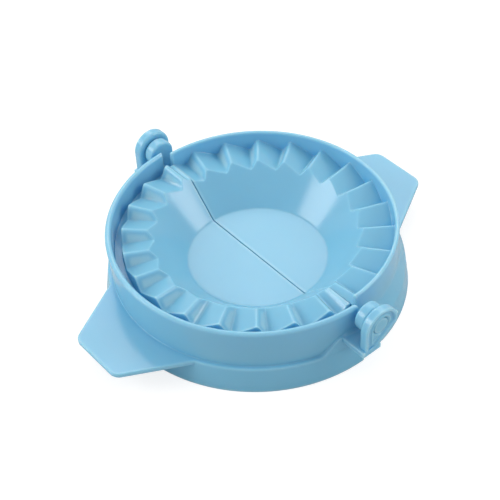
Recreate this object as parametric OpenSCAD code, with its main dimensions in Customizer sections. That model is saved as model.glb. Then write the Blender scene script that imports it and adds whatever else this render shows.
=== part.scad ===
// Hand press for filled pastries: two pleated half moulds that lie open as one ring and fold shut.
// X runs from wing to wing, Y along the hinge, and the origin lies on the table under the hinge's middle.
// Each half is drawn on the +X side, and the outer half is then mirrored to its own side.

/* [Dish] */
// Radius of the flat dish floor
floor_r = 21.3; // [19:0.1:23]
// Height of the dish floor above the table
floor_z = 7.9; // [7:0.1:9]
// Angle of the dish wall above level
dish_angle = 46; // [43:1:50]
// Thickness of the moulded walls
wall = 1.5; // [1.2:0.1:1.7]
// Gap between the halves where they butt together
split_gap = 0.3; // [0.3:0.1:0.6]

/* [Pleats] */
// Number of pleats on each half
pleats = 12; // [10:1:14]
// Rise of a pleat from valley to crest at the dish
pleat_rise_in = 2.4; // [1.6:0.1:3]
// Rise of a pleat from valley to crest at the rim
pleat_rise_out = 4.2; // [3:0.1:4.6]
// Share of a pleat's width that its steep side takes
steep_share = 0.22; // [0.18:0.01:0.3]
// Share of the steep side's width that the rounding takes on each side of a crest or valley
crest_round = 0.3; // [0.15:0.05:0.45]
// Angle from the split to the inner half's first crest
first_crest = 4.3; // [3:0.1:6]
// Height that the closed halves leave between their pleats for the dough
dough_gap = 2.4; // [2:0.1:3]
// Angle that the outer half's pleats lag behind the inner half's, which clears the steep sides
dough_lag = 2.6; // [2:0.1:3]
// Depth of the outer half's middle pleat height below the hinge axis
pleat_drop = 0.8; // [0.4:0.1:1.2]

/* [Rims] */
// Outer radius of the outer half's rim at its top
rim_r = 45; // [44:0.1:46]
// Thickness of the outer half's rim
rim_wall = 1.8; // [1.4:0.1:2]
// Height of the outer half's rim above the hinge axis
rim_up = 2.9; // [2.4:0.1:3.2]
// Inward lean of the outer half's rim wall towards the table
rim_draft = 3.3; // [2:0.1:4]
// Gap between the two rims when the press is shut
nest_gap = 1; // [0.9:0.1:1.3]
// Thickness of the inner half's rim
nest_wall = 1.3; // [1:0.1:1.4]
// Height of the inner half's rim above the hinge axis
nest_up = 3.4; // [3:0.1:3.6]
// Gap between the inner half's rim and the outer half's pleats when the press is shut
pleat_gap = 0.5; // [0.4:0.1:0.8]
// Gap between the inner half's rim edge and the outer half's moat floor when the press is shut
moat_clear = 0.9; // [0.6:0.1:1.2]
// Distance from the split to the end of the outer half's rim
rim_end = 1.4; // [1:0.1:2]

/* [Skirts] */
// Width of the ledge at the seam, from the outer half's rim wall out to its skirt
skirt_step = 1.3; // [1:0.1:1.7]
// How much wider the outer half's skirt is on the table than at the seam, on the radius
skirt_flare = 1.3; // [0.9:0.1:1.9]
// Rounding of the skirt's edge at the seam
skirt_round = 0.5; // [0.3:0.1:0.8]
// Height of the seam where the skirt steps in to the rim wall
seam_z = 8.3; // [7.8:0.1:8.8]
// Distance that the inner half's shoulder slopes outwards, from its rim wall to the skirt's lip
shoulder_out = 2.2; // [1.8:0.1:2.6]
// How much wider the inner half's skirt is on the table than at its lip, on the radius
nest_flare = 1.1; // [0.7:0.1:1.6]
// Height of the inner half's skirt lip
nest_lip_z = 7.4; // [7:0.1:8]
// Height where the inner half's shoulder meets its rim wall
nest_shoulder_z = 13; // [12:0.1:14]
// Outward lean of the inner half's rim wall towards the table
nest_draft = 2.4; // [1.5:0.1:3]

/* [Hinge] */
// Height of the hinge axis above the table
axis_z = 19.3; // [19:0.1:19.8]
// Outer radius of an ear
ear_r = 5.9; // [5.5:0.1:6.2]
// Thickness of an ear
ear_t = 3; // [2.6:0.1:3.4]
// Distance from the outer half's rim to an ear's inner face
ear_gap = 5; // [4.8:0.1:5.6]
// Rounding of an ear's inner edge
ear_round = 0.9; // [0.5:0.1:1.1]
// Depth of the recess in an ear's outer face
recess_depth = 0.8; // [0.5:0.1:1]
// Width of the raised border round that recess
recess_border = 1.1; // [0.9:0.1:1.4]
// Width of the raised loop round the pin, inside the recess
loop_w = 0.9; // [0.6:0.1:1]
// Distance from the pin's bore to that loop
loop_gap = 0.15; // [0.1:0.05:0.3]
// Rounding of the foot's corners
foot_round = 0.9; // [0.6:0.1:1.2]
// Angle below level where an ear's round head meets its slanted side
ear_slant = 13; // [8:1:20]
// Width of an ear's foot where it stands on its shelf
foot_w = 2.7; // [2.2:0.1:3.2]
// Height of the top of the shelves that carry the ears and the knuckles
shelf_z = 12.9; // [12.4:0.1:13.4]
// Thickness of those shelves
shelf_t = 1.9; // [1.6:0.1:2.4]
// Distance from the split to the far side of a shelf
shelf_x = 6.9; // [6.4:0.1:7.4]
// Run of the ramp from the seam up to the ear's shelf
ramp_run = 7.5; // [6:0.1:9]
// Distance that the ramp's outer face leans in by the time it reaches the shelf
ramp_lean = 0.4; // [0.2:0.1:0.6]
// Radius of a knuckle on the inner half
knuckle_r = 4.4; // [4:0.1:4.6]
// Width of a knuckle along the hinge
knuckle_w = 3.6; // [3.2:0.1:3.8]
// Gap between a knuckle and its ear
side_gap = 0.3; // [0.2:0.1:0.5]
// Radius of a hinge pin
pin_r = 2.6; // [2.3:0.1:2.8]
// Radial clearance of a pin in its ear
pin_fit = 0.06; // [0.03:0.01:0.1]
// Length of a pin past the floor of the ear's recess
pin_proud = 0.3; // [0.1:0.1:0.5]
// Chamfer on a pin's end
pin_lead = 0.3; // [0.1:0.1:0.5]
// Radius of the gate stub left on one ear
gate_r = 0.6; // [0.4:0.1:0.8]
// Length of that gate stub
gate_l = 1.1; // [0.6:0.1:1.4]

/* [Wings] */
// Distance that a wing reaches past the skirt
wing_l = 14; // [11:0.2:17]
// Width of a wing's tip between its two corners
wing_tip = 18.6; // [16:0.2:22]
// Angle at which a wing's sides open towards the ring
wing_flare = 28.8; // [24:0.2:32]
// Corner radius of a wing's tip
wing_round = 3.6; // [2:0.1:5]
// Thickness of a wing
wing_t = 1.5; // [1.2:0.1:1.8]

/* [Hidden] */
$fn = 96;
// How far a cutting body runs past what it cuts
past = 1;
// Half the size of a cutting body that covers the whole press
far = 80;
// How far a hinge piece or wing runs into the wall that carries it
root = wall / 2;
blue = [0.47, 0.76, 0.89];

// Angle of the split from the X axis
split_a = 90;
// Straight pieces that round off one crest or valley
round_steps = 4;
// Straight pieces along the ramp's curve
ramp_steps = 10;
// Thickness of the slices that an ear's rounded edge is drawn over
slice = 0.05;

rim_z = axis_z + rim_up;
nest_z = axis_z + nest_up;
nest_r = rim_r - rim_wall - nest_gap;
// The shut halves mirror about the axis, which gives the moat its floor and the pleats their mean heights
moat_z = 2 * axis_z - nest_z - moat_clear;
pleat_out_r = nest_r - nest_wall - pleat_gap;
pleat_in_r = floor_r + (axis_z - pleat_drop - floor_z) / tan(dish_angle);
pitch = 180 / pleats;
steep = pitch * steep_share;
shallow = pitch - steep;
// Rise of the dish wall for the height at which the dish cutter ends, above both rims
dish_h = axis_z + ear_r - floor_z;
// The pleats start inside the dish wall, and their roots are cut away with the dish
root_r = floor_r + past;
skirt_top_r = rim_face(seam_z, 0) + skirt_step;
skirt_r = skirt_top_r + skirt_flare;
nest_lip_r = nest_face(nest_shoulder_z, 0) + shoulder_out;
nest_skirt_r = nest_lip_r + nest_flare;
// Both wings reach as far as the wider skirt asks, so that they line up when the press is shut
wing_x = skirt_r + wing_l;
// The hinge pieces stand clear of the outer half's rim
ear_y = rim_r + ear_gap;
knuckle_y = ear_y - side_gap - knuckle_w;
loop_in = ear_r - pin_r - pin_fit - loop_gap;
leg_drop = axis_z - shelf_z + shelf_t;

// Height of a pleat line at radius r: side is 1 on a crest and -1 in a valley
function pleat_z(outer, side, r) =
    axis_z - (outer ? pleat_drop : dough_gap - pleat_drop)
    + side / 2 * (pleat_rise_in
    + (pleat_rise_out - pleat_rise_in) * (r - pleat_in_r) / (pleat_out_r - pleat_in_r));

// Drop from a sharp crest to its rounding, a parabola, at the angle t between flanks lo and hi degrees wide
function round_drop(t, b, lo, hi) =
    2 * b / lo - 2 / lo * (t + b) + (1 / lo + 1 / hi) * pow(t + b, 2) / (2 * b);

// Angles and sides of the pleat lines, clockwise from before the split to past it
function pleat_lines(outer, rounded) = [
    for (k = [0 : pleats + 1], flank = [1, 0], i = rounded ? [0 : round_steps] : [round_steps / 2])
    let (
        b = steep * crest_round,
        t = b * (1 - 2 * i / round_steps),
        side = (outer ? 1 : -1) * (2 * flank - 1),
        drop = rounded ? round_drop(t, b, flank == 1 ? steep : shallow, flank == 1 ? shallow : steep) : 0
    )
    [split_a + first_crest - pitch * k + steep * flank + (outer ? dough_lag : 0) + t, side * (1 - drop)]
];

// The two halves mesh when folded: what is a crest on one is a valley on the other
module pleat_body(outer, rounded, lift, r_lo, r_hi, z_lo) {
    lines = pleat_lines(outer, rounded);
    n = len(lines);
    points = concat(
        [for (p = lines) [r_lo * cos(p[0]), r_lo * sin(p[0]), pleat_z(outer, p[1], r_lo) + lift]],
        [for (p = lines) [r_hi * cos(p[0]), r_hi * sin(p[0]), pleat_z(outer, p[1], r_hi) + lift]],
        [for (p = lines) [r_lo * cos(p[0]), r_lo * sin(p[0]), z_lo]],
        [for (p = lines) [r_hi * cos(p[0]), r_hi * sin(p[0]), z_lo]]
    );
    top = [for (i = [0 : n - 2], half = [0, 1])
        half == 0 ? [i, n + i, n + i + 1] : [i, n + i + 1, i + 1]];
    bottom = [for (i = [0 : n - 2]) [2 * n + i, 2 * n + i + 1, 3 * n + i + 1, 3 * n + i]];
    dish_side = [for (i = [0 : n - 2]) [i, i + 1, 2 * n + i + 1, 2 * n + i]];
    rim_side = [for (i = [0 : n - 2]) [n + i + 1, n + i, 3 * n + i, 3 * n + i + 1]];
    ends = [[n, 0, 2 * n, 3 * n], [n - 1, 2 * n - 1, 4 * n - 1, 3 * n - 1]];
    polyhedron(points, concat(top, bottom, dish_side, rim_side, ends), convexity = 12);
}

// Pleated body with its outer edge trimmed to a true circle; the underside's edges stay sharp
module round_pleats(outer, lift, r, z_lo) {
    intersection() {
        pleat_body(outer, lift == 0, lift, root_r, r + past, z_lo);
        translate([0, 0, z_lo - past]) cylinder(r = r, h = far);
    }
}

// Space of the dish, grown by the wall thickness where it shapes the underside
module dish(grow) {
    low_r = floor_r + grow * (1 - cos(dish_angle)) / sin(dish_angle);
    translate([0, 0, floor_z - grow])
        cylinder(r1 = low_r, r2 = low_r + dish_h / tan(dish_angle), h = dish_h);
}

// Turns an outline drawn in radius and height through the half circle on the +X side
module half_turn() {
    rotate([0, 0, -90]) rotate_extrude(angle = 180) children();
}

// Keeps what lies on the +X side of the split
module trim_to_split() {
    intersection() {
        children();
        translate([split_gap / 2, -far, -far]) cube(2 * far);
    }
}

// Repeats a hinge piece at both ends of the axis
module both_ends() {
    for (side = [0, 1]) mirror([0, side, 0]) children();
}

// Stands an outline drawn in X and Z upright, from y0 towards the middle of the hinge for the depth d
module upright(y0, d) {
    translate([0, -y0, 0]) mirror([0, 1, 0]) rotate([90, 0, 0]) linear_extrude(height = d) children();
}

// Radius of the outer half's rim wall at height z, less an inset
function rim_face(z, inset) = rim_r - (rim_z - z) * tan(rim_draft) - inset;

// Radius of the inner half's rim wall at height z, less an inset
function nest_face(z, inset) = nest_r + (nest_z - z) * tan(nest_draft) - inset;

module outer_outline() {
    bead = rim_wall / 2;
    edge = skirt_top_r - skirt_round;
    polygon([
        [0, 0], [skirt_r, 0], [skirt_top_r, seam_z - skirt_round], [edge, seam_z],
        [rim_face(seam_z, 0), seam_z],
        [rim_face(rim_z - bead, 0), rim_z - bead], [rim_face(rim_z - bead, rim_wall), rim_z - bead],
        [rim_face(moat_z, rim_wall), moat_z], [0, moat_z]
    ]);
    translate([rim_face(rim_z - bead, bead), rim_z - bead]) circle(r = bead);
    translate([edge, seam_z - skirt_round]) circle(r = skirt_round);
}

module outer_hollow_outline() {
    polygon([
        [0, -past], [skirt_r - wall, -past], [skirt_r - wall, 0], [skirt_top_r - wall, seam_z - wall],
        [rim_face(seam_z, rim_wall), seam_z - wall], [rim_face(moat_z - wall, rim_wall), moat_z - wall],
        [0, moat_z - wall]
    ]);
}

module inner_outline() {
    bead = nest_wall / 2;
    polygon([
        [0, 0], [nest_skirt_r, 0], [nest_lip_r, nest_lip_z],
        [nest_face(nest_shoulder_z, 0), nest_shoulder_z],
        [nest_face(nest_z - bead, 0), nest_z - bead], [nest_face(nest_z - bead, nest_wall), nest_z - bead],
        [nest_r - nest_wall, moat_z], [0, moat_z]
    ]);
    translate([nest_face(nest_z - bead, bead), nest_z - bead]) circle(r = bead);
}

module inner_hollow_outline() {
    polygon([
        [0, -past], [nest_skirt_r - wall, -past], [nest_skirt_r - wall, 0],
        [nest_lip_r - wall, nest_lip_z - wall / 2],
        [nest_face(nest_shoulder_z, wall), nest_shoulder_z - wall / 2], [nest_r - nest_wall, moat_z - wall],
        [0, moat_z - wall]
    ]);
}

// Flat handle with round tip corners, level with the seam and joined to the skirt
module wing(ring_r) {
    corner_x = wing_x - wing_round;
    corner_y = wing_tip / 2 - wing_round * (1 - sin(wing_flare)) / cos(wing_flare);
    side = [corner_x + wing_round * sin(wing_flare), corner_y + wing_round * cos(wing_flare)];
    wide = [floor_r, side[1] + (side[0] - floor_r) * tan(wing_flare)];
    difference() {
        translate([0, 0, seam_z - wing_t]) linear_extrude(height = wing_t) {
            polygon([
                wide, side, [corner_x, corner_y], [wing_x, corner_y],
                [wing_x, -corner_y], [corner_x, -corner_y], [side[0], -side[1]], [wide[0], -wide[1]]
            ]);
            for (end = [-1, 1]) translate([corner_x, end * corner_y]) circle(r = wing_round);
        }
        cylinder(r = ring_r - root, h = far);
    }
}

// Shelf that sticks out of the ring under the hinge, to the distance y_end
module shelf(ring_r, y_end) {
    difference() {
        translate([split_gap, 0, shelf_z - shelf_t]) cube([shelf_x - split_gap, y_end, shelf_t]);
        cylinder(r = ring_r - root, h = far);
    }
}

// Round bar along the hinge axis, from the distance y0 outwards, with a smaller end radius for a cone
module axle(r, y0, h, end_r) {
    translate([0, y0, axis_z]) rotate([-90, 0, 0])
        cylinder(r1 = r, r2 = is_undef(end_r) ? r : end_r, h = h);
}

// Ear outline: round head over the axis, slanted on the split side, with a foot on the shelf
module ear_outline(inset) {
    cut = [-ear_r * cos(ear_slant), -ear_r * sin(ear_slant)];
    foot = [ear_r - foot_w, -leg_drop];
    slant = atan2(foot[1] - cut[1], foot[0] - cut[0]);
    translate([0, axis_z]) intersection() {
        union() {
            circle(r = ear_r - inset);
            difference() {
                translate([0, inset - leg_drop]) square([ear_r - inset, leg_drop - inset]);
                translate([ear_r - inset - foot_round, inset - leg_drop]) square(foot_round);
            }
            translate([ear_r - inset - foot_round, inset - leg_drop + foot_round]) circle(r = foot_round);
        }
        translate(cut) rotate(slant) translate([-far, inset]) square(2 * far);
    }
}

// Ear with a sunk outer face, in which a loop runs round the pin
module ear() {
    floor_y = ear_y + ear_t - recess_depth;
    difference() {
        hull() {
            for (turn = [0 : 30 : 90])
                upright(-ear_y - ear_round * (1 - sin(turn)), slice)
                    ear_outline(ear_round * (1 - cos(turn)));
            upright(-ear_y - ear_round, ear_t - ear_round) ear_outline(0);
        }
        difference() {
            upright(-floor_y, recess_depth + past) ear_outline(recess_border);
            upright(-(floor_y - past), recess_depth + past) difference() {
                ear_outline(loop_in - loop_w);
                ear_outline(loop_in);
            }
        }
        axle(pin_r + pin_fit, ear_y - past, ear_t + 2 * past);
    }
}

// Band that swells out of the rim wall and climbs from the seam to the ear's shelf
module ramp() {
    rise = shelf_z - seam_z;
    band_r = rim_face(shelf_z, root);
    intersection() {
        half_turn() polygon([
            [band_r, seam_z - wall], [skirt_top_r, seam_z],
            [skirt_top_r - ramp_lean, shelf_z], [band_r, shelf_z]
        ]);
        upright(0, far) polygon(concat(
            [[0, seam_z - wall], [0, shelf_z]],
            [for (i = [0 : ramp_steps])
                let (share = i / ramp_steps)
                [shelf_x + ramp_run * share, seam_z + rise * (1 + cos(180 * share)) / 2]],
            [[shelf_x + ramp_run, seam_z - wall]]
        ));
    }
}

// Knuckle with its leg down to the shelf and the hinge pin on its outer face
module knuckle() {
    lead_y = ear_y + ear_t - recess_depth + pin_proud - pin_lead;
    axle(knuckle_r, knuckle_y, knuckle_w);
    translate([split_gap, knuckle_y, shelf_z - shelf_t])
        cube([knuckle_r - split_gap, knuckle_w, leg_drop]);
    axle(pin_r, knuckle_y, lead_y - knuckle_y);
    axle(pin_r, lead_y, pin_lead, pin_r - pin_lead);
}

// Half with the deep rim, a moat inside it for the other rim, and the two ears
module outer_half() {
    color(blue) mirror([1, 0, 0]) {
        trim_to_split() {
            difference() {
                union() {
                    half_turn() outer_outline();
                    round_pleats(true, 0, pleat_out_r, moat_z - wall);
                }
                dish(0);
                difference() {
                    union() {
                        half_turn() outer_hollow_outline();
                        round_pleats(true, -wall, pleat_out_r - wall, moat_z - 2 * wall);
                    }
                    dish(wall);
                }
                // Ends the rim short of the split, from the moat outwards and down to its floor
                both_ends() translate([0, nest_r, moat_z]) cube([rim_end, far, far]);
            }
            both_ends() ramp();
            both_ends() shelf(rim_face(shelf_z, 0), ear_y + ear_t);
            wing(skirt_top_r);
        }
        both_ends() ear();
        translate([-ear_r - gate_l, -ear_y - ear_t / 2, axis_z]) rotate([0, 90, 0])
            cylinder(r = gate_r, h = gate_l + root);
    }
}

// Half with the thin rim that nests in the moat, and the knuckles with the hinge pins
module inner_half() {
    color(blue) {
        trim_to_split() {
            difference() {
                union() {
                    half_turn() inner_outline();
                    round_pleats(false, 0, nest_r - nest_wall / 2, moat_z - wall);
                }
                dish(0);
                difference() {
                    union() {
                        half_turn() inner_hollow_outline();
                        round_pleats(false, -wall, nest_r - nest_wall, moat_z - 2 * wall);
                    }
                    dish(wall);
                }
            }
            both_ends() shelf(nest_face(shelf_z, 0), ear_y - side_gap);
            wing(nest_lip_r);
        }
        both_ends() knuckle();
    }
}

outer_half();
inner_half();
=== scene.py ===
# Hand press for filled pastries, lying open on a table: two light blue mouldings snapped together at a hinge.
# The mouldings are drawn in millimetres, X across the hinge, Y along it and Z up; the rest is in metres.
import math

import bmesh
import bpy
from mathutils import Matrix, Vector


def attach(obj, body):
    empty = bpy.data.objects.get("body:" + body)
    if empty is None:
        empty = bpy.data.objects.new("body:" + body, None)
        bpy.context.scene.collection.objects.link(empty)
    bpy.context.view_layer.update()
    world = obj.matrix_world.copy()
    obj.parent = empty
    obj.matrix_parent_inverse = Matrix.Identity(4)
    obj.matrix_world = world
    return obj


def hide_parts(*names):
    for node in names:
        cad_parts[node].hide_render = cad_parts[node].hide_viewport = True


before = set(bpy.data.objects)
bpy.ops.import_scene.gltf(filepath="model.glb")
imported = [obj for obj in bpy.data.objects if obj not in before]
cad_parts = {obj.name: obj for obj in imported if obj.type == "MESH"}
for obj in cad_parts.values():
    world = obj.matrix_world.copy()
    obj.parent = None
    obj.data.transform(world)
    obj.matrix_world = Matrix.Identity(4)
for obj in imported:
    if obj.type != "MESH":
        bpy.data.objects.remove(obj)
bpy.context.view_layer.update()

# ------------------------------------------------------------------------------------------------------------
# Outer half, the ring: half a dish, twelve pleats, a moat, a deep rim wall and the skirt that it stands on.
# Light blue polypropylene about 1.5 mm thick, moulded in one shot in a polished mould, so every edge is soft.
# It is drawn on the +X side, as an outline in radius and height that changes with the pleats on its way round.
wall = 1.5
floor_r, floor_z = 21.3, 7.9  # the dish's floor
flat_r = 7.5  # the floor is one flat face out to here
dish_rise = math.tan(math.radians(46))
half_slope = 0.4245  # tangent of half the dish wall's angle
under_r, under_z = floor_r + wall * half_slope, floor_z - wall
axis_z = 19.3  # the hinge axis
split, edge_round = 0.12, 0.24  # from the middle to the split's face, and the rounding of its edges
pleat_in_r, pleat_out_r = 31.54, 40.4
pleat_high, pleat_more = 2.4, 1.8  # crest over valley at the pleats' inner end, and what the outer end adds
pitch, steep, crest_half = 15.0, 3.3, 0.99  # degrees: crest to crest, a steep side, half a bend
pleat_steps = (-0.99, -0.5, 0, 0.5, 0.99, 1.65, 2.31, 2.8, 3.3, 3.8, 4.29,
               5.4, 6.9, 8.4, 9.9, 11.4, 12.7)  # degrees past a crest at which the outline is drawn
outer_first, outer_mean = 100.2, axis_z - 0.8  # angle where a steep side starts, and the pleats' mean height
moat_z = 15.0
rim_r, rim_z, rim_wall, bead = 45.0, 22.2, 1.8, 0.9  # the bead is the lip's round top
rim_draft = math.tan(math.radians(3.3))
seam_z, skirt_top_r, skirt_r = 8.3, 45.5, 46.8
rim_end, rim_end_round, rim_end_slant = 1.2, 0.4, 0.4  # the rim stops this far from the middle
rim_low, rim_from, rim_mid = 42, 42.9, 44  # radii: in the moat, past the rim wall's foot, and in its middle
end_angle = 89.6  # degrees; the rows at the split keep the pleats' shape from here


def pleat_side(angle, first):
    """1 on a crest line and -1 in a valley line, a parabola where they bend; a steep side starts at first."""
    up, down = 2 / (pitch - steep), -2 / steep
    a = (first - angle) % pitch
    for bend, value, before, after in ((0, 1, up, down), (steep, -1, down, up), (pitch, 1, up, down)):
        t = a - bend
        if abs(t) < crest_half:
            return (value - before * crest_half + before * (t + crest_half)
                    + (after - before) * (t + crest_half) ** 2 / (4 * crest_half))
    return 1 + down * a if a < steep else -1 + up * (a - steep)


def pleat_line(angle, first, mean, sign):
    """The pleats along a radius at an angle, as a height at radius 0 and a rise per millimetre."""
    half = sign * pleat_side(angle, first) / 2
    rise = half * pleat_more / (pleat_out_r - pleat_in_r)
    return mean + half * pleat_high - rise * pleat_in_r, rise


def soft_outline(corners):
    """Points of an outline from corners (radius, height, reach of the rounding, extra points up to the next)."""
    last = len(corners) - 1
    rounded = []
    for i, (r, z, reach, _) in enumerate(corners):
        p = Vector((r, z))
        if reach == 0 or i in (0, last):
            rounded.append([p])
            continue
        to, on = Vector(corners[i - 1][:2]) - p, Vector(corners[i + 1][:2]) - p
        a = p + to.normalized() * min(reach, to.length * 0.45)
        b = p + on.normalized() * min(reach, on.length * 0.45)
        rounded.append([a * (1 - s) ** 2 + p * 2 * s * (1 - s) + b * s * s for s in (0, 1 / 3, 2 / 3, 1)])
    points = []
    for i, part in enumerate(rounded):
        points += part
        extra = corners[i][3] if i < last else 0
        points += [part[-1].lerp(rounded[i + 1][0], (k + 1) / (extra + 1)) for k in range(extra)]
    return points


def shrink(points, by):
    """The outline moved inwards by a length, or by one length for each point."""
    out = []
    for i, p in enumerate(points):
        t = points[min(i + 1, len(points) - 1)] - points[max(i - 1, 0)]
        if i in (0, len(points) - 1):
            t = Vector((1 if i == 0 else -1, 0))
        n = Vector((t.y, -t.x)).normalized() if t.length else Vector((0, 0))
        out.append(p + n * (by[i] if isinstance(by, list) else by))
    return out


def ring_rows(outline, first, end_x=None):
    """Rows of 3-D points from one end of the split to the other, with rounded edges at the split.

    Where end_x is given, the rim ends at that distance from the middle, and its ends are rounded as well.
    """
    start = split + edge_round
    middle = (pleat_in_r + pleat_out_r) / 2
    last = 87.4 if end_x else 88.6  # degrees
    plan = [first - step - pitch * k for k in range(-1, 14) for step in pleat_steps]
    angles = sorted({round(a, 4) for a in plan if abs(a) < last}, reverse=True)
    quarter = [(round(math.sin(math.radians(a)), 6), 1 - math.cos(math.radians(a))) for a in (0, 30, 60, 90)]

    def place(points, x_of, side, slant=0):
        """A row in space: each point keeps its radius and height, and x_of gives its X from its radius."""
        row = []
        for i, p in enumerate(points):
            x = x_of(p.x)
            if p.x > rim_from and p.y > moat_z - 0.01:
                x += slant * max(0, rim_r - max(p.x, rim_r - rim_wall))
            y = 0 if i in (0, len(points) - 1) else side * math.sqrt(max(p.x ** 2 - x ** 2, 0))
            row.append((x, y, p.y))
        return row

    def half_end(side):
        """The rows from the last plain one to the split on one side."""
        rows = []
        angle = side * end_angle
        if end_x:
            for s, inset in quarter:
                turn = (end_x + rim_end_round * (1 - s) - start) / (rim_mid - start)
                points = outline(angle, True)
                # Only the rim wall is rounded, and less and less towards the moat's floor
                by = [rim_end_round * inset * min(1, max(0, (p.y - moat_z - 0.15) / 0.5)) if p.x > rim_low else 0
                      for p in points]
                rows.append(place(shrink(points, by), lambda r: start + (r - start) * turn, side, rim_end_slant))
            points = outline(angle, False)
            rows.append(place(points, lambda r: start + (r - start) * turn, side, rim_end_slant))
            rows.append(place(points, lambda r: start + (r - start) * turn / 2, side))
        for s, inset in quarter:
            points = shrink(outline(angle, not end_x), edge_round * inset)
            rows.append(place(points, lambda r: split + edge_round * (1 - s), side))
        return rows

    rows = half_end(1)[::-1]
    for a in angles:
        turn = (middle * math.cos(math.radians(a)) - start) / (middle - start)
        rows.append(place(outline(a, True), lambda r: start + (r - start) * turn, 1 if a >= 0 else -1))
    return rows + half_end(-1)


def clean(bm):
    """Joins points that fall together and turns all faces outwards."""
    bmesh.ops.remove_doubles(bm, verts=bm.verts, dist=1e-4)
    bmesh.ops.dissolve_degenerate(bm, dist=1e-5, edges=bm.edges)
    bmesh.ops.recalc_face_normals(bm, faces=bm.faces)
    return bm


def loft(rows, closed=False):
    """Mesh over rows of points, each joined to the next, with a flat face over the first and the last row."""
    bm = bmesh.new()
    made = [[bm.verts.new(p) for p in row] for row in rows]
    n = len(rows[0])
    for a, b in zip(made, made[1:]):
        for i in range(n if closed else n - 1):
            j = (i + 1) % n
            bm.faces.new((a[i], a[j], b[j], b[i]))
    bm.faces.new(made[0])
    bm.faces.new(made[-1][::-1])
    return clean(bm)


def calm(bm):
    """Joins the thin faces round the middle of the dish's floor, above and below, into one flat face each."""
    for z in (floor_z, under_z):
        middle = [f for f in bm.faces
                  if all(v.co.xy.length < flat_r and abs(v.co.z - z) < 1e-3 for v in f.verts)]
        bmesh.ops.dissolve_faces(bm, faces=middle, use_verts=True)
    return bm


def solid(name, bm):
    """An object from a mesh under work."""
    mesh = bpy.data.meshes.new(name)
    bm.to_mesh(mesh)
    bm.free()
    ob = bpy.data.objects.new(name, mesh)
    bpy.context.scene.collection.objects.link(ob)
    return ob


def combine(ob, other):
    """Joins another solid to one, as one clean mesh."""
    union = ob.modifiers.new("union", "BOOLEAN")
    union.operation, union.solver, union.object = "UNION", "EXACT", other
    bpy.context.view_layer.update()
    mesh = bpy.data.meshes.new_from_object(ob.evaluated_get(bpy.context.evaluated_depsgraph_get()))
    ob.modifiers.clear()
    ob.data = mesh
    bpy.data.objects.remove(other)


def rim_face(z, inset=0):
    """Radius of the rim wall's outer face at a height, less an inset."""
    return rim_r - (rim_z - z) * rim_draft - inset


def round_lip(middle, top, radius):
    """Half round over a rim wall, from its inner to its outer face."""
    return [(middle - radius * math.cos(math.radians(a)), top + radius * math.sin(math.radians(a)), 0, 0)
            for a in range(20, 180, 20)]


def dish_corners(start, rise, lip):
    """Corners over the dish from the middle to the pleats, and back below it from the pleats' outer end."""
    top_r = (start - floor_z + floor_r * dish_rise) / (dish_rise - rise)
    low_r = (start - wall - under_z + under_r * dish_rise) / (dish_rise - rise)
    over = [(split + edge_round, floor_z, 0, 6), (floor_r, floor_z, 0.5, 4),
            (top_r, floor_z + (top_r - floor_r) * dish_rise, 0.35, 4)]
    under = [(lip, start + rise * lip - wall, 0.3, 3), (low_r, under_z + (low_r - under_r) * dish_rise, 0.35, 3),
             (under_r, under_z, 0.5, 5), (split + edge_round, under_z, 0, 0)]
    return over, under


def outer_outline(angle, rim):
    """Section of the outer half at an angle, with the rim wall or with the moat's floor in its place."""
    start, rise = pleat_line(angle, outer_first, outer_mean, 1)
    lip = pleat_out_r - wall
    over, under = dish_corners(start, rise, lip)
    in_r, out_r, top = rim_face(moat_z, rim_wall), rim_face(moat_z), rim_z - bead
    rim_points = [(rim_face(top, rim_wall), top, 0, 0), *round_lip(rim_face(top, bead), top, bead),
                  (rim_face(top), top, 0, 4)]
    if not rim:
        # As many points, laid flat from the rim wall's inner face on
        rim_points = [(in_r + (out_r - in_r) * (i + 1) / 13, moat_z, 0, extra)
                      for i, (*_, extra) in enumerate(rim_points)]
    return soft_outline([
        *over, (pleat_out_r, start + rise * pleat_out_r, 0.3, 2), (pleat_out_r, moat_z, 0.25, 1),
        (in_r, moat_z, 0.25, 4), *rim_points, (out_r, moat_z, 0.25, 3),
        (rim_face(seam_z), seam_z, 0.3, 0), (skirt_top_r, seam_z, 0.5, 3), (skirt_r, 0, 0.2, 0),
        (skirt_r - wall, 0, 0.2, 2), (skirt_top_r - wall, seam_z - wall, 0.3, 0),
        (rim_face(seam_z, rim_wall), seam_z - wall, 0.3, 2),
        (rim_face(moat_z - wall, rim_wall), moat_z - wall, 0.3, 1), (lip, moat_z - wall, 0.3, 1), *under,
    ])


outer = solid("outer_moulding", calm(loft(ring_rows(outer_outline, outer_first, rim_end))))

# ------------------------------------------------------------------------------------------------------------
# The wings: flat handles on both halves, level with the seam, with round tip corners and softly rounded edges.
# Each is part of its half's moulding and runs into the skirt; the finger lifts it to fold the press.
wing_x, wing_tip, wing_round, wing_edge = 60.79, 18.6, 3.6, 0.4  # end, width there, tip corners, edges
wing_flare = math.radians(28.8)
outer_wing_r = 44.6  # radius at which the wing ends inside the ring
sunk = 0.02  # no face of a piece may lie in the plane of another's that it joins


def quarter_round(radius, angles):
    """How far the points of a quarter round lie inside its corner, along either side."""
    return [(radius * (1 - math.cos(math.radians(a))), radius * (1 - math.sin(math.radians(a)))) for a in angles]


def moved(outline, by):
    """Closed counter-clockwise outline moved inwards by a length."""
    points, n = [], len(outline)
    for i, p in enumerate(outline):
        a, b = (p - outline[i - 1]).normalized(), (outline[(i + 1) % n] - p).normalized()
        t = (a + b).normalized()
        points.append(p + Vector((-t.y, t.x)) * by / max(t.dot(a), 0.5))
    return points


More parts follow.
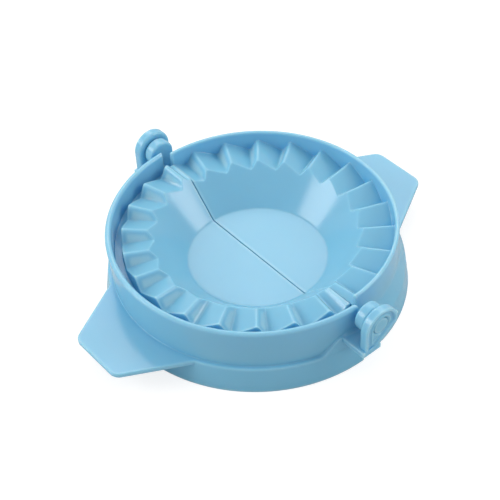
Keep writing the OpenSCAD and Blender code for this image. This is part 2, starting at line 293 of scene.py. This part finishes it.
def slab(outline, start, end, edge, place):
    """Block over a closed outline between two levels, with both rims rounded; place puts a point in space."""
    rows = []
    for level, way, angles in ((start, 1, (90, 67.5, 45, 22.5, 0)), (end, -1, (0, 22.5, 45, 67.5, 90))):
        for inset, along in quarter_round(edge, angles):
            rows.append([place(p, level + way * along) for p in moved(outline, inset)])
    return loft(rows, closed=True)


def plate(outline, top, thick, edge):
    """Flat plate with its rims rounded above and below."""
    return slab(outline, top - thick, top, edge, lambda p, z: (p.x, p.y, z))


def wing(ring_r, top):
    """Handle whose sides narrow from the ring to a tip with two round corners."""
    tip_x = wing_x - wing_round
    tip_y = wing_tip / 2 - wing_round * (1 - math.sin(wing_flare)) / math.cos(wing_flare)
    turn = math.pi / 2 - wing_flare
    tip = [Vector((tip_x + wing_round * math.cos(turn * k / 8), tip_y + wing_round * math.sin(turn * k / 8)))
           for k in range(9)]
    # The side runs back along a straight line to the ring's circle
    away = Vector((-math.cos(wing_flare), math.sin(wing_flare)))
    near = tip[-1].dot(away)
    start = tip[-1] + away * (-near - math.sqrt(near ** 2 - tip[-1].length_squared + ring_r ** 2))
    half = tip + [tip[-1].lerp(start, k / 8) for k in range(1, 9)]
    turn = math.atan2(start.y, start.x)
    arc = [Vector((ring_r * math.cos(turn * (1 - k / 6)), ring_r * math.sin(turn * (1 - k / 6))))
           for k in range(1, 12)]
    return plate(half + arc + [Vector((p.x, -p.y)) for p in half[::-1]], top, wall, wing_edge)


combine(outer, solid("outer_wing", wing(outer_wing_r, seam_z + sunk)))

# ------------------------------------------------------------------------------------------------------------
# Shelves and ramps at both ends of the outer half: its wall swells into a band that climbs to a shelf per ear.
# They are one moulding with the ring; their edges are softly round like the rest.
shelf_x, shelf_in_x, shelf_z, shelf_t, shelf_edge = 6.9, 0.3, 12.9, 1.9, 0.25
ear_y, ear_t = 50.0, 2.99  # the ear's inner face, and its thickness
ramp_run, ramp_fillet, ramp_in_r = 7.5, 0.35, 43.4
ramp_dip = 0.15  # the band's low end lies this far below the seam
outer_shelf_r, outer_fillet = 43.5, 1.3


def both_ends(ob, make, *args):
    """Joins a hinge piece to a half at both ends of the hinge axis."""
    for side in (1, -1):
        bm = make(*args)
        if side < 0:
            bmesh.ops.scale(bm, vec=(1, -1, 1), verts=bm.verts)
            bmesh.ops.reverse_faces(bm, faces=bm.faces)
        combine(ob, solid("hinge_piece", bm))


def shelf(y_in, y_out):
    """Ledge that carries an ear or a knuckle."""
    corners = ((shelf_in_x, y_in), (shelf_x, y_in), (shelf_x, y_out), (shelf_in_x, y_out))
    return plate([Vector(p) for p in corners], shelf_z, shelf_t, shelf_edge)


def ramp():
    """Band along the ring whose top climbs from the seam to the shelf, with a small fillet against the rim."""
    rows, f = [], ramp_fillet
    for k in range(31):
        x = split + 0.06 + (shelf_x + ramp_run - split) * k / 30
        share = min(1, max(0, (x - shelf_x) / ramp_run))
        climb = shelf_z - sunk - seam_z + ramp_dip
        top = seam_z - ramp_dip + climb * (1 + math.cos(math.pi * share)) / 2
        lean = skirt_top_r - sunk - 0.4 * (top - seam_z) / (shelf_z - seam_z)
        wall_r = rim_face(top + f) - 0.03
        soft = min(0.5, max(0.05, (top - 7.6) * 0.4), (lean - wall_r - f) * 0.8)
        outline = soft_outline([
            (ramp_in_r, 7.3, 0, 0), (ramp_in_r, top + f, 0, 0),
            *((wall_r + out, top + up, 0, 0) for out, up in quarter_round(f, (0, 30, 60, 90))),
            (lean, top, soft, 2), (skirt_top_r, 7.4, 0, 0)])
        rows.append([(x, math.sqrt(p.x ** 2 - x ** 2), p.y) for p in outline])
    return loft(rows, closed=True)


def fillet(wall_of, radius):
    """Rounded corner between a ring's wall and its shelf, which fades out towards the shelf's end."""
    rows = []
    for k in range(25):
        x = split + 0.1 + (shelf_x + 0.1 - split) * k / 24
        fade = min(1, max(0.15, (shelf_x + 0.3 - x) / 1.8))
        f = radius * fade * fade * (3 - 2 * fade)
        wall_r, top = wall_of(shelf_z + f) - 0.03, shelf_z - 0.01
        outline = [(wall_r - 0.6, top - 0.4), (wall_r - 0.6, top + f)]
        outline += [(wall_r + out, top + up) for out, up in quarter_round(f, range(0, 91, 15))]
        outline += [(wall_r + f, top - 0.4)]
        rows.append([(x, math.sqrt(r ** 2 - x ** 2), z) for r, z in outline])
    return loft(rows, closed=True)


both_ends(outer, ramp)
both_ends(outer, shelf, outer_shelf_r, ear_y + ear_t - sunk)
both_ends(outer, fillet, rim_face, outer_fillet)

# ------------------------------------------------------------------------------------------------------------
# Ears: round heads on slanted legs in which the hinge pins turn, moulded on the outer half's shelves.
# The outer face is sunk inside a soft border, with a low loop round the pin, and one ear keeps its gate stub.
ear_r, leg_drop, foot_w, foot_round = 5.9, 8.27, 2.7, 0.9
ear_round, border_round = 0.9, 0.3  # edges of the inner and of the outer face
leg_from, leg_blend = 193, 0.6  # degrees where the leg's slanted side leaves the head, and its blend there
pin_r, pin_fit, bore_lead = 2.6, 0.06, 0.35
relief = (  # inset from the ear's outline, and depth below its outer face
    (0.75, 0), (0.9, 0.04), (1.05, 0.2), (1.2, 0.45), (1.35, 0.58), (1.5, 0.6), (1.9, 0.6), (2.05, 0.56),
    (2.2, 0.42), (2.35, 0.31), (2.5, 0.28), (2.65, 0.31), (2.8, 0.42), (2.95, 0.5), (3.1, 0.54), (3.4, 0.55))
ear_angles = sorted({
    *range(0, 288, 4), *range(288, 316, 2), *range(316, 360, 4),
    189, 191, 193, 195, 197, 289.5, 290.3, 291.1, 291.9, 303.5})  # closer where the leg starts and at its foot
gate_r, gate_inset = 0.6, 0.7
gate_side = ((0, 0), (gate_r, 0), (gate_r, 1.5), (0.52, 1.72), (0.3, 1.82), (0, 1.8))  # radius, length


def ear_reach(angle, inset):
    """From the hinge axis to the ear's outline moved inwards, at an angle in degrees from +X upwards."""
    c, s = math.cos(math.radians(angle)), math.sin(math.radians(angle))
    reach = ear_r - inset
    if c > 1e-6 and s < 0:
        side, low = ear_r - inset, leg_drop - inset
        leg, corner = min(side / c, low / -s), (side - foot_round, foot_round - low)
        if leg * c > corner[0] and leg * s < corner[1]:
            on = c * corner[0] + s * corner[1]
            leg = on + math.sqrt(max(on ** 2 - corner[0] ** 2 - corner[1] ** 2 + foot_round ** 2, 0))
        reach = max(reach, leg)
    cut = Vector((math.cos(math.radians(leg_from)), math.sin(math.radians(leg_from)))) * ear_r
    along = (Vector((ear_r - foot_w, -leg_drop)) - cut).normalized()
    toward = along.x * s - along.y * c
    if toward < 0:
        slant = (inset + cut.y * along.x - cut.x * along.y) / toward
        blend = max(leg_blend - abs(reach - slant), 0)
        reach = min(reach, slant) - blend ** 2 / (4 * leg_blend)
    return reach


def turned(rows, closed=False):
    """Piece round the hinge axis: one row of (radius, distance along the hinge) for each angle in degrees."""
    bm = bmesh.new()
    made = [[bm.verts.new((r * math.cos(math.radians(a)), y, axis_z + r * math.sin(math.radians(a))))
             for r, y in row] for a, row in rows]
    n = len(rows[0][1])
    for a, b in zip(made, made[1:] + made[:1]):
        for i in range(n if closed else n - 1):
            j = (i + 1) % n
            bm.faces.new((a[i], b[i], b[j], a[j]))
    return clean(bm)


def ear():
    """Ear with its bore, from its inner face at ear_y to its sunk outer face."""
    bore, y0, y1 = pin_r + pin_fit, ear_y, ear_y + ear_t
    lead_r = bore + bore_lead
    rows = []
    for angle in ear_angles:
        row = [(bore, y0 + 0.2), (bore + 0.06, y0 + 0.06), (bore + 0.2, y0)]
        row += [(ear_reach(angle, inset), y0 + along)
                for inset, along in quarter_round(ear_round, (90, 75, 60, 45, 30, 15, 0))]
        row += [(ear_reach(angle, inset), y1 - along)
                for inset, along in quarter_round(border_round, (0, 30, 60, 90))]
        depth = 0
        for inset, level in relief:
            r = ear_reach(angle, inset)
            if r > lead_r + 0.04:
                depth = level
            row.append((max(r, lead_r + 0.04), y1 - depth))
        row += [(lead_r, y1 - depth - 0.03), (bore + 0.04, y1 - depth - bore_lead),
                (bore, y1 - depth - bore_lead - 0.08)]
        rows.append((angle, row))
    return turned(rows, closed=True)


both_ends(outer, ear)
gate = turned([(a, gate_side) for a in range(0, 360, 15)])
bmesh.ops.translate(gate, vec=(0, 0, -axis_z), verts=gate.verts)
bmesh.ops.rotate(gate, matrix=Matrix.Rotation(math.pi / 2, 3, "Z"), verts=gate.verts)
bmesh.ops.translate(gate, vec=(-ear_r + gate_inset, -ear_y - ear_t / 2, axis_z), verts=gate.verts)
combine(outer, solid("gate_stub", gate))

# ------------------------------------------------------------------------------------------------------------
# Plastic of both halves: light blue polypropylene, glossy, a little cloudy inside, with a fine moulded skin.
# The tone drifts where the melt flowed and the skin has a faint grain; thin edges and crests get a painted
# highlight, and hollows a painted shade.
press_blue, tone_drift, press_gloss = (0.215, 0.53, 0.735), 0.08, 0.11


def node(tree, kind, values=None, **settings):
    """A shader node with its settings and the values of its sockets."""
    n = tree.nodes.new(kind)
    for key, value in settings.items():
        setattr(n, key, value)
    for socket, value in (values or {}).items():
        n.inputs[socket].default_value = value
    return n


def wire(tree, *pairs):
    """Links from outputs to inputs."""
    for a, b in pairs:
        tree.links.new(a, b)


skin = bpy.data.node_groups.new("moulded_skin", "ShaderNodeTree")
# The second and third colours are a painted highlight for thin edges and a painted shade for hollows.
for name, kind, value in (
        ("Colour", "NodeSocketColor", (0.15, 0.46, 0.70, 1)), ("Edge_highlight", "NodeSocketColor", (0.46, 0.72, 0.84, 1)),
        ("Hollow_shade", "NodeSocketColor", (0.05, 0.38, 0.68, 1)), ("Drift", "NodeSocketFloat", 0.05),
        ("Gloss", "NodeSocketFloat", 0.14)):
    skin.interface.new_socket(name, in_out="INPUT", socket_type=kind).default_value = value
for name, kind in (
        ("Colour", "NodeSocketColor"), ("Roughness", "NodeSocketFloat"), ("Height", "NodeSocketFloat")):
    skin.interface.new_socket(name, in_out="OUTPUT", socket_type=kind)

inp, out = node(skin, "NodeGroupInput"), node(skin, "NodeGroupOutput")
coords = node(skin, "ShaderNodeTexCoord")
flow = node(skin, "ShaderNodeTexNoise", {"Scale": 28, "Detail": 3, "Roughness": 0.5, "Distortion": 0.6})
grain = node(skin, "ShaderNodeTexNoise", {"Scale": 1500, "Detail": 4, "Roughness": 0.6})
wave = node(skin, "ShaderNodeTexNoise", {"Scale": 110, "Detail": 2, "Roughness": 0.4})
# thin and edge: a painted highlight, the pale colour mixed in along thin edges, lips and crests
thin = node(skin, "ShaderNodeAmbientOcclusion", {"Distance": 0.0011}, inside=True, samples=6)
# near and the mask after it: a painted shade, the deep colour mixed in where other faces are near, in creases
# and hollows
near = node(skin, "ShaderNodeAmbientOcclusion", {"Distance": 0.0035}, samples=6)
edge = node(skin, "ShaderNodeMapRange", {"From Min": 0.93, "From Max": 0.4, "To Min": 0, "To Max": 0.8})
painted_shade_mask = node(skin, "ShaderNodeMapRange", {"From Min": 0.8, "From Max": 0.3, "To Min": 0, "To Max": 0.5})
centre = node(skin, "ShaderNodeMath", {1: 0.5}, operation="SUBTRACT")
drift = node(skin, "ShaderNodeMath", {2: 0}, operation="MULTIPLY_ADD")
bright = node(skin, "ShaderNodeMath", {1: 1.0}, operation="ADD")
tone = node(skin, "ShaderNodeVectorMath", operation="SCALE")
painted_highlight_mix = node(skin, "ShaderNodeMix", data_type="RGBA")
painted_shade_mix = node(skin, "ShaderNodeMix", data_type="RGBA")
rough = node(skin, "ShaderNodeMath", {1: 0.10}, operation="MULTIPLY_ADD")
height = node(skin, "ShaderNodeMath", {1: 0.15}, operation="MULTIPLY_ADD")
wire(skin, *((coords.outputs["Object"], noise.inputs["Vector"]) for noise in (flow, grain, wave)))
wire(skin,  # the colour, brighter and darker along the flow
     (flow.outputs["Fac"], centre.inputs[0]), (centre.outputs[0], drift.inputs[0]),
     (inp.outputs["Drift"], drift.inputs[1]), (drift.outputs[0], bright.inputs[0]),
     (inp.outputs["Colour"], tone.inputs[0]), (bright.outputs[0], tone.inputs["Scale"]))
wire(skin,  # painted highlight: paler where it is thin, along edges, lips and crests
     (thin.outputs["AO"], edge.inputs["Value"]), (edge.outputs["Result"], painted_highlight_mix.inputs["Factor"]),
     (tone.outputs[0], painted_highlight_mix.inputs["A"]), (inp.outputs["Edge_highlight"], painted_highlight_mix.inputs["B"]))
wire(skin,  # painted shade: deeper where other faces are near
     (near.outputs["AO"], painted_shade_mask.inputs["Value"]), (painted_shade_mask.outputs["Result"], painted_shade_mix.inputs["Factor"]),
     (painted_highlight_mix.outputs["Result"], painted_shade_mix.inputs["A"]), (inp.outputs["Hollow_shade"], painted_shade_mix.inputs["B"]),
     (painted_shade_mix.outputs["Result"], out.inputs["Colour"]))
wire(skin,  # gloss and relief of the mould's polish
     (wave.outputs["Fac"], rough.inputs[0]), (inp.outputs["Gloss"], rough.inputs[2]),
     (rough.outputs[0], out.inputs["Roughness"]), (grain.outputs["Fac"], height.inputs[0]),
     (wave.outputs["Fac"], height.inputs[2]), (height.outputs[0], out.inputs["Height"]))


def plastic(name):
    """One moulding's plastic."""
    mat = bpy.data.materials.new(name)
    mat.use_nodes = True
    tree = mat.node_tree
    tree.nodes.clear()
    shader = node(tree, "ShaderNodeBsdfPrincipled", {
        "IOR": 1.49, "Specular IOR Level": 0.34,
        "Subsurface Weight": 0.45, "Subsurface Radius": (0.3, 0.8, 1.0), "Subsurface Scale": 0.0022})
    surface = node(tree, "ShaderNodeOutputMaterial")
    group = node(tree, "ShaderNodeGroup", node_tree=skin)
    group.inputs["Colour"].default_value = (*press_blue, 1)
    group.inputs["Drift"].default_value = tone_drift
    group.inputs["Gloss"].default_value = press_gloss
    bump = node(tree, "ShaderNodeBump", {"Strength": 0.35, "Distance": 0.00006})
    wire(tree, (group.outputs["Colour"], shader.inputs["Base Color"]),
         (group.outputs["Roughness"], shader.inputs["Roughness"]),
         (group.outputs["Height"], bump.inputs["Height"]), (bump.outputs["Normal"], shader.inputs["Normal"]),
         (shader.outputs["BSDF"], surface.inputs["Surface"]))
    return mat


outer_plastic = plastic("blue_plastic_outer")
inner_plastic = plastic("blue_plastic_inner")


mm, sharp_from = 0.001, math.radians(38)


def finish_moulding(ob, mat, body, node_name, flip):
    """Turns the drawing to its own side and to metres, smooths it and puts it on its body."""
    ob.data.transform(Matrix.Diagonal((-mm if flip else mm, mm, mm, 1)))
    if flip:
        ob.data.flip_normals()
    ob.data.materials.clear()
    ob.data.materials.append(mat)
    ob.data.shade_smooth()
    ob.data.set_sharp_from_angle(angle=sharp_from)
    soft = ob.modifiers.new("even_shading", "WEIGHTED_NORMAL")
    soft.keep_sharp = True
    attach(ob, body)
    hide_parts(node_name)


finish_moulding(outer, outer_plastic, "outer", "outer_half", True)

# ------------------------------------------------------------------------------------------------------------
# Inner half: the other half of the dish, with twelve pleats that mesh with the outer half's in the folded press.
# Its thin rim drops into the moat, and its shoulder slopes out to the skirt. Same plastic, same kind of mould.
nest_r, nest_z, nest_wall, nest_bead = 42.2, 22.7, 1.3, 0.65  # the thin rim's top and its round lip
nest_draft = math.tan(math.radians(2.4))
shoulder_z, lower_r, lower_z, foot_r = 13.0, 44.807, 7.4, 45.907  # the shoulder, the skirt's top and its foot
inner_first, inner_mean = 97.6, axis_z - 1.6
inner_wing_r, inner_shelf_r, inner_fillet = 43.9, 42.0, 0.9


def nest_face(z, inset=0):
    """Radius of the thin rim's outer face at a height, less an inset."""
    return nest_r + (nest_z - z) * nest_draft - inset


def inner_outline(angle, rim):
    """Section of the inner half at an angle. Its rim runs through to the split."""
    start, rise = pleat_line(angle, inner_first, inner_mean, -1)
    lip, top = nest_r - nest_wall, nest_z - nest_bead
    over, under = dish_corners(start, rise, lip)
    return soft_outline([
        *over, (lip, start + rise * lip, 0.3, 3),
        (nest_face(top, nest_wall), top, 0, 0), *round_lip(nest_face(top, nest_bead), top, nest_bead),
        (nest_face(top), top, 0, 5), (nest_face(shoulder_z), shoulder_z, 1.0, 3), (lower_r, lower_z, 0.7, 3),
        (foot_r, 0, 0.2, 0), (foot_r - wall, 0, 0.2, 3), (lower_r - wall, lower_z - wall / 2, 0.5, 3),
        (nest_face(shoulder_z, wall), shoulder_z - wall / 2, 0.3, 0), (lip, moat_z - wall, 0.2, 1), *under,
    ])


inner = solid("inner_moulding", calm(loft(ring_rows(inner_outline, inner_first))))
combine(inner, solid("inner_wing", wing(inner_wing_r, seam_z)))
both_ends(inner, shelf, inner_shelf_r, ear_y - 0.32)
both_ends(inner, fillet, nest_face, inner_fillet)

# ------------------------------------------------------------------------------------------------------------
# Knuckles: round bosses on legs at both ends of the inner half, each with a pin that snaps into an ear.
# They are part of the same moulding, with well rounded edges, and the pins have a small lead at their ends.
knuckle_r, knuckle_w, knuckle_round = 4.4, 3.6, 0.8
knuckle_y = ear_y - 0.3  # its outer face, just clear of the ear
pin_end, pin_lead = 52.5, 0.3


def knuckle():
    """Round boss whose leg runs down into the shelf."""
    head = [Vector((math.cos(math.radians(a)), math.sin(math.radians(a)))) * knuckle_r for a in range(0, 273, 4)]
    leg = ((0.33, -4.7), (0.33, -7.7), (knuckle_r, -7.7), (knuckle_r, -3), (knuckle_r, -1.5))
    outline = head + [Vector(p) for p in leg]
    return slab(outline, knuckle_y - knuckle_w, knuckle_y, knuckle_round, lambda p, y: (p.x, y, axis_z + p.y))


def pin():
    """Pin from inside the knuckle to its end in the ear, with a small foot round its root."""
    row = [(0, knuckle_y - 1), (pin_r + 0.2, knuckle_y - 1), (pin_r + 0.2, knuckle_y),
           (pin_r + 0.03, knuckle_y + 0.06), (pin_r, knuckle_y + 0.2)]
    row += [(pin_r - inset, pin_end - along) for inset, along in quarter_round(pin_lead, (0, 30, 60, 90))]
    row += [(1, pin_end - 0.03), (0, pin_end - 0.05)]
    return turned([(a, row) for a in range(0, 360, 6)])


both_ends(inner, knuckle)
both_ends(inner, pin)
finish_moulding(inner, inner_plastic, "inner", "inner_half", False)

# ------------------------------------------------------------------------------------------------------------
# Table: a plain white matt sheet on which the press stands.
# It bounces light as a pale grey, and the camera sees it almost white, with only the press's soft shadow.
bm = bmesh.new()
bmesh.ops.create_circle(bm, cap_ends=True, radius=3, segments=96)
table = solid("table", bm)
paper = bpy.data.materials.new("white_table")
paper.use_nodes = True
tree = paper.node_tree
tree.nodes.clear()
seen = node(tree, "ShaderNodeLightPath")
bounce = node(tree, "ShaderNodeBsdfDiffuse", {"Color": (0.65, 0.65, 0.65, 1)})
pale = node(tree, "ShaderNodeBsdfDiffuse", {"Color": (0.36, 0.36, 0.36, 1)})
glow = node(tree, "ShaderNodeEmission", {"Color": (1, 1, 1, 1), "Strength": 0.77})
both = node(tree, "ShaderNodeAddShader")
pick = node(tree, "ShaderNodeMixShader")
end = node(tree, "ShaderNodeOutputMaterial")
wire(tree, (pale.outputs[0], both.inputs[0]), (glow.outputs[0], both.inputs[1]),
     (seen.outputs["Is Camera Ray"], pick.inputs[0]), (bounce.outputs[0], pick.inputs[1]),
     (both.outputs[0], pick.inputs[2]), (pick.outputs[0], end.inputs["Surface"]))
table.data.materials.append(paper)

# ------------------------------------------------------------------------------------------------------------
# Light: a pale room, full white to the camera and to reflections, and three slightly warm softboxes: one on the
# camera's right, one on its left, and a broad one higher up behind the press. Each has a second panel in its
# place, the shine, which only reflections see: it brightens the highlights and nothing else.
room = bpy.data.worlds.new("room")
bpy.context.scene.world = room
room.use_nodes = True
tree = room.node_tree
tree.nodes.clear()
seen = node(tree, "ShaderNodeLightPath")
most = node(tree, "ShaderNodeMath", operation="MAXIMUM")
more = node(tree, "ShaderNodeMath", operation="MAXIMUM")
level = node(tree, "ShaderNodeMapRange", {"To Min": 0.65, "To Max": 1.0})
sky = node(tree, "ShaderNodeBackground", {"Color": (1, 1, 1, 1)})
end = node(tree, "ShaderNodeOutputWorld")
wire(tree, (seen.outputs["Is Camera Ray"], most.inputs[0]), (seen.outputs["Is Glossy Ray"], most.inputs[1]),
     (most.outputs[0], more.inputs[0]), (seen.outputs["Is Transmission Ray"], more.inputs[1]),
     (more.outputs[0], level.inputs["Value"]), (level.outputs["Result"], sky.inputs["Strength"]),
     (sky.outputs[0], end.inputs["Surface"]))
lamp_away, lamp_aim, lamp_colour = 0.7, Vector((0, 0, 0.015)), (1, 0.95, 0.9)
panels = (  # name, azimuth, elevation, width and height in degrees as the press sees them, lamp, shine
    ("right", 50, 31, 20, 24, 4.6, 6), ("left", -126, 30, 28, 24, 5.8, 5.5), ("high", 142, 48, 44, 26, 2.1, 3.8))


def softbox(name, azimuth, elevation, wide, high, radiance, only_shine):
    """Panel that faces the press from a direction."""
    a, e = math.radians(azimuth), math.radians(elevation)
    back = Vector((math.sin(a) * math.cos(e), -math.cos(a) * math.cos(e), math.sin(e)))
    lamp = bpy.data.lights.new(name, "AREA")
    lamp.shape, lamp.color = "RECTANGLE", lamp_colour
    lamp.size = 2 * lamp_away * math.tan(math.radians(wide / 2))
    lamp.size_y = 2 * lamp_away * math.tan(math.radians(high / 2))
    lamp.energy = radiance * math.pi * lamp.size * lamp.size_y
    ob = bpy.data.objects.new(name, lamp)
    bpy.context.scene.collection.objects.link(ob)
    ob.location = lamp_aim + back * lamp_away
    ob.rotation_mode = "QUATERNION"
    ob.rotation_quaternion = (-back).to_track_quat("-Z", "Y")
    ob.visible_camera, ob.visible_diffuse = False, not only_shine


for name, *where, lamp, shine in panels:
    softbox("softbox_" + name, *where, lamp, False)
for name, *where, lamp, shine in panels:
    softbox("shine_" + name, *where, shine, True)

# ------------------------------------------------------------------------------------------------------------
# Camera: from the front left and above, as in the photograph, with a long lens about 37 cm from the press.
# Its direction, roll, lens and shift come from a fit to the photograph's circles and the wings' corners.
azimuth, elevation, roll = math.radians(-38.95), math.radians(45.6), math.radians(-2.43)
distance = 0.37452
back = Vector((math.sin(azimuth) * math.cos(elevation), -math.cos(azimuth) * math.cos(elevation),
               math.sin(elevation)))
right = Vector((math.cos(azimuth), math.sin(azimuth), 0))
up = back.cross(right)
across = math.cos(roll) * right + math.sin(roll) * up
upward = -math.sin(roll) * right + math.cos(roll) * up
view = bpy.data.cameras.new("camera")
view.sensor_width, view.lens, view.shift_x, view.shift_y = 36, 87.28, -0.01726, 0.04748
view.clip_start, view.clip_end = 0.01, 20
camera = bpy.data.objects.new("camera", view)
bpy.context.scene.collection.objects.link(camera)
camera.matrix_world = Matrix((across, upward, back)).transposed().to_4x4()
camera.location = back * distance
bpy.context.scene.camera = camera
bpy.context.scene.view_settings.view_transform = "Standard"
